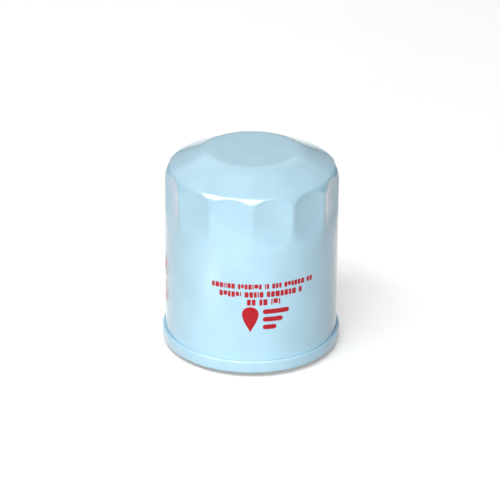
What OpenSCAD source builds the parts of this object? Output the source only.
// Spin-on oil filter, standing on its gasket with the domed end up.
// Millimetres. The origin is the centre of the gasket's sealing face, and +Z points to the dome.

/* [Can] */
// Outside radius of the can's wall
can_r = 37.25; // [37:0.05:38.5]
// Height of the crown above the sealing face
can_h = 88.9; // [88.5:0.1:94]
// Thickness of the sheet of the can and of the seam cover
sheet_t = 0.43; // [0.4:0.01:0.46]
// Bend radius of the knuckle between wall and shoulder
knuckle_r = 3.6; // [3:0.1:5]
// Slope of the conical shoulder in degrees
shoulder_deg = 26; // [23:1:28]
// Radius of the flat crown
crown_r = 20.5; // [19.5:0.5:22]
// Blend radius between crown and shoulder
crown_blend_r = 6; // [3:0.5:9]

/* [Wrench flutes] */
// Number of wrench flutes round the can
flute_count = 13; // [12:1:15]
// Depth of a flute at its upper end
flute_depth = 1; // [0.6:0.05:1]
// Length of a flute down the wall
flute_len = 18; // [14:1:22]

/* [Double seam] */
// Height of the seam's underside above the sealing face
seam_lift = 1.6; // [1.4:0.1:1.8]
// Height of the rolled seam
seam_h = 5.7; // [5.5:0.1:6.2]
// Gap between the layers of the seam
seam_gap = 0.02; // [0.01:0.01:0.04]

/* [Base plate] */
// Radius of the threaded bore at the crests of a 3/4-16 UNF thread
bore_r = 8.9; // [8.85:0.01:8.98]
// Wall thickness of the threaded hub
hub_wall = 3.7; // [3.3:0.1:3.8]
// Thickness of the plate
plate_t = 2.8; // [2.5:0.1:3]
// Rise of the plate's web above its rim
web_rise = 1.6; // [1.4:0.1:1.8]
// Height of the hub above the web's underside
hub_h = 10.55; // [10:0.05:11]
// Number of oil inlet holes
inlet_count = 8; // [6:1:10]
// Radius of an inlet hole
inlet_r = 3.2; // [2.8:0.1:3.3]
// Radius of the circle that the inlet holes lie on
inlet_ring_r = 19.4; // [19.2:0.1:19.6]

/* [Gasket] */
// Inside radius of the gasket
gasket_in_r = 31; // [30.8:0.1:31.4]
// Outside radius of the gasket
gasket_out_r = 35.2; // [34.8:0.1:35.3]
// Thickness of the gasket
gasket_h = 5.6; // [5.4:0.1:5.8]

/* [Filter element] */
// Number of pleats in the paper
pleat_count = 46; // [36:1:48]
// Radius over the outer folds
pleat_out_r = 29.6; // [29:0.1:30]
// Radius inside the inner folds
pleat_in_r = 15.6; // [15.4:0.1:16.5]
// Thickness of the pleated paper
paper_t = 0.5; // [0.4:0.05:0.6]
// Outside radius of the end caps
cap_r = 31.4; // [31:0.1:32]
// Height of the upper end cap's top face
element_top = 74; // [73:0.5:75]
// Outside radius of the centre tube
tube_r = 14.2; // [14:0.1:14.3]

/* [Bypass valve] */
// Radius of the opening in the seat
seat_r = 6.5; // [6:0.1:7]
// Radius of the poppet
poppet_r = 9; // [8.6:0.1:9.2]
// Depth of the cage below the seat plate
cage_h = 14; // [13:0.5:16]
// Radius of the poppet's stem
stem_r = 2; // [1.8:0.1:2.1]

/* [Springs] */
// Mean radius of the element spring
element_spring_r = 17.6; // [17:0.1:18]
// Wire radius of the element spring
element_wire_r = 0.9; // [0.7:0.1:1]
// Mean radius of the bypass spring
bypass_spring_r = 5.2; // [4.8:0.1:6]
// Wire radius of the bypass spring
bypass_wire_r = 0.5; // [0.4:0.05:0.6]

/* [Hidden] */
$fn = 96;

// Small gap between pieces that touch across a joint
touch = 0.1;
// Gap between pieces that are fixed to each other
fixed_gap = 0.02;
// Thickness of the stamped pieces of the element
stamp_t = 0.5;

// Heights, from the sealing face upwards
seam_top = seam_lift + seam_h;
can_hook_z = seam_top - 0.9;
cover_hook_z = seam_lift + 1.4;
rim_z = gasket_h + sheet_t + fixed_gap;
web_z = rim_z + web_rise;
web_top = web_z + plate_t;
hub_top = web_z + hub_h;
flange_t = 1.8;
element_z = hub_top + flange_t + 2 * touch;
element_floor = element_z + stamp_t;
element_ceiling = element_top - stamp_t;
potting_h = 2.5;
seat_z = element_ceiling - 0.9;
cage_z = seat_z - cage_h;
seal_t = 1.1;
poppet_t = 1;
poppet_top = seat_z - 2 * touch - seal_t;
shoulder_z = can_h - (can_r - crown_r) * tan(shoulder_deg);

// Radii
hub_r = bore_r + hub_wall;
plate_r = can_r - sheet_t - 0.5;
web_r = 26;
lip_r = 24.4;
tube_t = 0.6;
boss_r = seat_r - 1.4;

// Middle radius of a layer of the seam: -1 is the cover's inner wall, 0 the can's wall, 3 the
// cover's outer wall
function layer_r(n) = can_r - sheet_t / 2 + n * (sheet_t + seam_gap);

// ---- Outlines of bent sheet ----

function unit(v) = v / norm(v);
function left_of(v) = [-v[1], v[0]];
function polar(r, angle) = [r * cos(angle), r * sin(angle)];

// Points of the bend of radius r at corner p between neighbours a and b
function bend(a, p, b, r, steps = 5) =
    let (
        u = unit(a - p),
        v = unit(b - p),
        half = acos(min(1, max(-1, u * v))) / 2,
        centre = p + unit(u + v) * r / sin(half),
        start = p + u * r / tan(half) - centre,
        turn = (u[0] * v[1] - u[1] * v[0] > 0 ? -1 : 1) * (180 - 2 * half),
        first = atan2(start[1], start[0])
    )
    [for (i = [0:steps]) centre + polar(r, first + turn * i / steps)];

// The path through points, with each corner bent to its own radius; 0 keeps it sharp
function bent(points, radii) = [
    for (i = [0:len(points) - 1])
        for (q = radii[i] > 0 ? bend(points[i - 1], points[i], points[i + 1], radii[i]) : [points[i]])
            q
];

// Direction that a path is moved in at point i so that its neighbours stay parallel
function side_step(path, i) =
    let (
        n = len(path) - 1,
        before = i > 0 ? left_of(unit(path[i] - path[i - 1])) : left_of(unit(path[1] - path[0])),
        after = i < n ? left_of(unit(path[i + 1] - path[i])) : before
    )
    (before + after) / (1 + before * after);

// The path moved sideways by d, to the left of its direction
function beside(path, d) = [for (i = [0:len(path) - 1]) path[i] + side_step(path, i) * d];

function reversed(list) = [for (i = [len(list) - 1:-1:0]) list[i]];

// A ring of sheet of thickness t, whose section follows the middle line path
module sheet_ring(path, t) {
    rotate_extrude() polygon(concat(beside(path, t / 2), reversed(beside(path, -t / 2))));
}

// ---- Can ----

// Outer surface of the can, from the crown's centre to height z on the wall
function can_path(z) = bent(
    [[0, can_h], [crown_r, can_h], [can_r, shoulder_z], [can_r, z]],
    [0, crown_blend_r, knuckle_r, 0]
);

// The can as a solid body down to height z, drawn in by inset, with its wrench flutes
module fluted_body(inset, z) {
    flute_top = shoulder_z - knuckle_r * 0.6;
    tilt = atan(flute_depth / flute_len);
    difference() {
        rotate_extrude() polygon(concat([[0, z]], beside(can_path(z), -inset)));
        for (i = [0:flute_count - 1])
            rotate([0, 0, (i + 0.5) * 360 / flute_count - 90])
                translate([can_r - flute_depth - inset, -can_r / 2, flute_top])
                    rotate([0, -tilt, 0])
                        translate([0, 0, -can_h / 2])
                            cube([can_r, can_r, can_h]);
    }
}

module can() {
    hook_bottom = seam_lift + 1.5 * sheet_t + seam_gap;
    fold_r = 0.96 * (layer_r(1) - layer_r(0));
    hook = bent(
        [
            [layer_r(0), seam_top], [layer_r(0), hook_bottom],
            [layer_r(2), hook_bottom], [layer_r(2), can_hook_z]
        ],
        [0, fold_r, fold_r, 0]
    );
    color("lightblue") {
        difference() {
            fluted_body(0, seam_top);
            fluted_body(sheet_t, seam_top - 1);
        }
        sheet_ring(hook, sheet_t);
    }
}

// ---- Seam cover: holds the gasket and is rolled over the can's edge ----

module seam_cover() {
    floor_z = gasket_h + sheet_t / 2;
    bottom = seam_lift + sheet_t / 2;
    top = seam_top - sheet_t / 2;
    wide_fold = 0.96 * (layer_r(1) - layer_r(-1));
    fold = 0.48 * (layer_r(3) - layer_r(1));
    path = bent(
        [
            [gasket_in_r - 0.6, gasket_h - 2.4], [gasket_in_r - 0.6, floor_z],
            [gasket_out_r + 0.6, floor_z], [layer_r(-1), 3.6],
            [layer_r(-1), bottom], [layer_r(3), bottom],
            [layer_r(3), top], [layer_r(1), top], [layer_r(1), cover_hook_z]
        ],
        [0, 0.5, 0.5, 1, wide_fold, wide_fold, fold, fold, 0]
    );
    color("lightblue") sheet_ring(path, sheet_t);
}

// ---- Sealing compound: one bead in the can's fold and one in the cover's fold ----

module sealant_bead(layer, low, high) {
    rotate_extrude()
        translate([layer_r(layer) - sheet_t / 2, low])
            square([sheet_t, high - low]);
}

module seam_sealant() {
    color("dimgray") {
        sealant_bead(1, seam_lift + 2.6 * sheet_t, cover_hook_z - seam_gap);
        sealant_bead(2, can_hook_z + seam_gap, seam_top - 1.5 * sheet_t);
    }
}

// ---- Base plate with the threaded hub and the inlet holes ----

module base_plate() {
    mouth = 0.8;
    outline = bent(
        [
            [bore_r + mouth, web_z], [web_r, web_z], [web_r + web_rise, rim_z],
            [plate_r, rim_z], [plate_r, rim_z + plate_t], [web_r + web_rise - 1, rim_z + plate_t],
            [web_r - 1, web_top], [hub_r, web_top], [hub_r, hub_top],
            [bore_r + mouth / 2, hub_top], [bore_r, hub_top - mouth / 2], [bore_r, web_z + mouth]
        ],
        [0, 1.5, 1, 0.4, 0.6, 1, 1.5, 2.4, 1, 0, 0, 0]
    );
    color("silver")
        difference() {
            rotate_extrude() polygon(outline);
            for (i = [0:inlet_count - 1])
                rotate([0, 0, i * 360 / inlet_count])
                    translate([inlet_ring_r, 0, rim_z])
                        cylinder(r = inlet_r, h = 2 * plate_t);
        }
}

module sealing_gasket() {
    round_r = 0.5;
    outline = bent(
        [
            [gasket_in_r, gasket_h / 2], [gasket_in_r, 0], [gasket_out_r, 0],
            [gasket_out_r, gasket_h - fixed_gap], [gasket_in_r, gasket_h - fixed_gap]
        ],
        [0, round_r, round_r, round_r, 0]
    );
    color("#202020") rotate_extrude() polygon(outline);
}

// ---- Anti-drain valve: a rubber sleeve on the hub with a skirt over the inlet holes ----

module anti_drain_valve() {
    seat = hub_top + touch;
    sleeve_in = hub_r + 0.15;
    sleeve_out = hub_r + 1.9;
    outline = bent(
        [
            [bore_r + 1.5, seat], [sleeve_in, seat], [sleeve_in, web_top + 2.9],
            [lip_r, web_top + touch], [lip_r + 0.5, web_top + 0.9],
            [sleeve_out, web_top + 4.6], [sleeve_out, seat + flange_t], [bore_r + 1.5, seat + flange_t]
        ],
        [0, 0, 1.5, 0.3, 0.3, 2, 0.6, 0]
    );
    color("#b5442e") rotate_extrude() polygon(outline);
}

// ---- Filter element ----

// A stamped end cap: a disc at height z with a rim that stands rim_h off it, up or down
module end_cap(z, rim_h, hole_r) {
    color("gainsboro")
        sheet_ring(
            bent(
                [[hole_r, z], [cap_r - stamp_t / 2, z], [cap_r - stamp_t / 2, z + rim_h]],
                [0, 1, 0]
            ),
            stamp_t
        );
}

module lower_end_cap() {
    end_cap(element_z + stamp_t / 2, 4.2, hub_r - 1.4);
}

module upper_end_cap() {
    end_cap(element_top - stamp_t / 2, -4.2, 10);
}

// A ring of adhesive that holds one end of the paper in its end cap
module potting(z) {
    inner = tube_r + 0.05;
    outer = cap_r - stamp_t - 0.05;
    color("khaki")
        translate([0, 0, z])
            difference() {
                cylinder(r = outer, h = potting_h);
                translate([0, 0, -1]) cylinder(r = inner, h = potting_h + 2);
            }
}

module lower_potting() {
    potting(element_floor + 0.6);
}

module upper_potting() {
    potting(element_ceiling - 0.6 - potting_h);
}

module center_tube() {
    row_count = 5;
    hole_count = 8;
    hole_r = 2.4;
    first_z = element_floor + 7.5;
    row_step = (element_ceiling - 9 - first_z) / (row_count - 1);
    color("silver")
        difference() {
            translate([0, 0, element_floor + fixed_gap])
                cylinder(r = tube_r, h = element_ceiling - element_floor - 2 * fixed_gap);
            cylinder(r = tube_r - tube_t, h = can_h);
            for (row = [0:row_count - 1])
                for (i = [0:hole_count - 1])
                    rotate([0, 0, (i + (row % 2) / 2) * 360 / hole_count])
                        translate([tube_r - 3, 0, first_z + row * row_step])
                            rotate([0, 90, 0])
                                cylinder(r = hole_r, h = 6);
        }
}

// One closed zigzag through outer folds of radius out_r and inner folds of radius in_r; the
// half angles set how wide the folds are
function zigzag(out_r, in_r, out_half, in_half) = [
    for (i = [0:pleat_count - 1])
        for (p = [
            [in_r, in_half - 180 / pleat_count], [out_r, -out_half],
            [out_r, out_half], [in_r, 180 / pleat_count - in_half]
        ])
            polar(p[0], i * 360 / pleat_count + p[1])
];

module filter_media() {
    paper_deg = paper_t * 180 / PI;
    out_half = 1.6;
    in_half = 0.9;
    bottom = element_floor + 1;
    color("wheat")
        translate([0, 0, bottom])
            linear_extrude(element_ceiling - 1 - bottom)
                difference() {
                    polygon(zigzag(pleat_out_r, pleat_in_r + paper_t, out_half, in_half));
                    polygon(zigzag(
                        pleat_out_r - paper_t, pleat_in_r,
                        out_half - paper_deg / pleat_out_r, in_half + paper_deg / pleat_in_r
                    ));
                }
}

// A folded steel strip that closes the ends of the paper over one outer fold
module media_seam_clip() {
    clip_t = 0.3;
    inside_w = 1.9;
    reach = 4.5;
    bottom = element_floor + potting_h + 0.8;
    height = element_ceiling - potting_h - 0.8 - bottom;
    color("silver")
        translate([pleat_out_r - reach, 0, bottom])
            difference() {
                translate([0, -inside_w / 2 - clip_t, 0])
                    cube([reach + 0.05 + clip_t, inside_w + 2 * clip_t, height]);
                translate([-1, -inside_w / 2, -1])
                    cube([reach + 1.05, inside_w, height + 2]);
            }
}

// ---- Bypass valve, hung in the centre tube under the upper end cap ----

module bypass_seat_plate() {
    color("silver")
        sheet_ring([[seat_r, seat_z + 0.45], [tube_r - tube_t - 0.5, seat_z + 0.45]], 0.86);
}

module bypass_cage() {
    wall_r = 11.4;
    window_w = 9;
    window_h = 7.5;
    color("silver")
        difference() {
            sheet_ring(
                bent(
                    [
                        [tube_r - tube_t - 0.8, seat_z - stamp_t / 2 - fixed_gap],
                        [wall_r, seat_z - stamp_t / 2 - fixed_gap],
                        [wall_r, cage_z], [stem_r + 0.3, cage_z]
                    ],
                    [0, 0.6, 1.2, 0]
                ),
                stamp_t
            );
            for (angle = [0, 90])
                rotate([0, 0, angle])
                    translate([-can_r / 2, -window_w / 2, cage_z + 3])
                        cube([can_r, window_w, window_h]);
        }
}

module bypass_poppet() {
    stem_end = cage_z - 1.4;
    boss_h = 1;
    color("silver")
        rotate_extrude()
            polygon([
                [0, stem_end], [stem_r - 0.5, stem_end], [stem_r, stem_end + 0.5],
                [stem_r, poppet_top - poppet_t], [poppet_r, poppet_top - poppet_t], [poppet_r, poppet_top],
                [boss_r, poppet_top], [boss_r, poppet_top + boss_h], [0, poppet_top + boss_h]
            ]);
}

module bypass_seal() {
    color("#202020")
        translate([0, 0, poppet_top + fixed_gap])
            difference() {
                cylinder(r = poppet_r - 0.3, h = seal_t);
                translate([0, 0, -1]) cylinder(r = boss_r + 0.05, h = 3);
            }
}

// ---- Coil springs: an end turn lies closed at each end ----

// Height at turn t of a spring of the given number of turns and travel of its middle line
function coil_z(t, turns, rise, end_rise) =
    t < 1 ? end_rise * t
    : t > turns - 1 ? rise - end_rise * (turns - t)
    : end_rise + (rise - 2 * end_rise) * (t - 1) / (turns - 2);

module coil(mean_r, wire_r, low, high, turns) {
    sides = 8;
    steps = 24;
    last = turns * steps;
    rise = high - low - 2 * wire_r;
    points = [
        for (i = [0:last], j = [0:sides - 1])
            let (
                around = i * 360 / steps,
                wire = polar(wire_r, j * 360 / sides),
                flat = polar(mean_r + wire[0], around)
            )
            [flat[0], flat[1], low + wire_r + coil_z(i / steps, turns, rise, 2.1 * wire_r) + wire[1]]
    ];
    faces = concat(
        [[for (j = [0:sides - 1]) j]],
        [
            for (i = [0:last - 1], j = [0:sides - 1])
                let (a = i * sides + j, b = i * sides + (j + 1) % sides)
                for (f = [[a, a + sides, b], [b, a + sides, b + sides]])
                    f
        ],
        [[for (j = [sides - 1:-1:0]) last * sides + j]]
    );
    polyhedron(points, faces);
}

module bypass_spring() {
    color("slategray")
        coil(
            bypass_spring_r, bypass_wire_r,
            cage_z + stamp_t / 2 + 0.05, poppet_top - poppet_t - touch, 5.5
        );
}

module spring_cup() {
    z = element_top + stamp_t / 2 + fixed_gap;
    rim_r = element_spring_r + element_wire_r + 0.4;
    color("gainsboro")
        sheet_ring(bent([[9.3, z], [rim_r, z], [rim_r + 0.5, z + 2.6]], [0, 0.8, 0]), stamp_t);
}

module element_spring() {
    color("slategray")
        coil(
            element_spring_r, element_wire_r,
            element_top + stamp_t + 2 * touch, can_h - sheet_t - touch, 3.5
        );
}

can();
seam_cover();
seam_sealant();
base_plate();
sealing_gasket();
anti_drain_valve();
lower_end_cap();
lower_potting();
center_tube();
filter_media();
media_seam_clip();
upper_potting();
upper_end_cap();
bypass_seat_plate();
bypass_cage();
bypass_spring();
bypass_poppet();
bypass_seal();
spring_cup();
element_spring();
